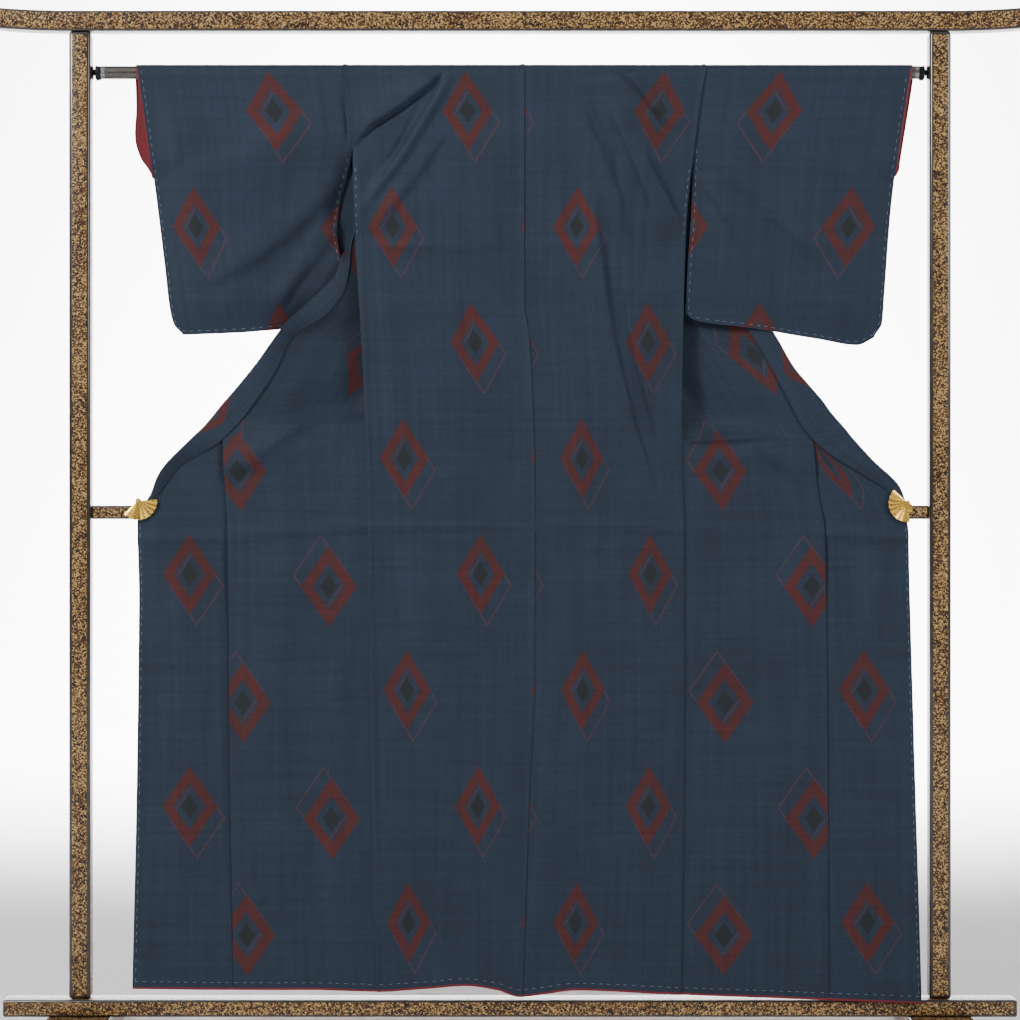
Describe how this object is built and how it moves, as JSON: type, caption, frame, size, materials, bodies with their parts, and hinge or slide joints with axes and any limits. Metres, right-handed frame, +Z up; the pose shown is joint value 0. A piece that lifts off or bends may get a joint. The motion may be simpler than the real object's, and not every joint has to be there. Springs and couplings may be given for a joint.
{
  "type": "lined kimono on a kimono stand",
  "caption": "Lined kimono hung by its sleeves over the rod of a lacquered floor stand, back to the viewer, fronts spread and clipped to the middle rail.",
  "frame": {"origin": "on the floor, midway between the two feet", "axes": "+Z up, +X along the rails to the right when the garment's back is seen, -Y towards the viewer of its back"},
  "size_m": [1.91, 0.38, 1.808],
  "materials": {
    "lacquered_wood": "glossy dark brown lacquer speckled with gold brown",
    "rod_metal": "dark satin metal",
    "gilt": "bright gilt",
    "silk": "slate navy woven silk with small staggered dots and a scattered lozenge motif",
    "lining": "plain crimson silk"
  },
  "bodies": {
    "root": {"foot_left": "lacquered_wood", "foot_right": "lacquered_wood", "post_left": "lacquered_wood", "post_right": "lacquered_wood", "base_rail": "lacquered_wood", "mid_rail": "lacquered_wood", "top_rail": "lacquered_wood", "rod_hook_left": "rod_metal", "rod_hook_right": "rod_metal", "hanging_rod": "rod_metal", "clip_left": "gilt", "clip_right": "gilt", "body_left": "silk", "body_right": "silk", "sleeve_left": "silk", "sleeve_right": "silk", "okumi_left": "silk", "okumi_right": "silk", "collar": "silk", "cuff_lining_left": "lining", "cuff_lining_right": "lining", "hem_lining_left": "lining", "hem_lining_right": "lining"}
  },
  "joints": []
}
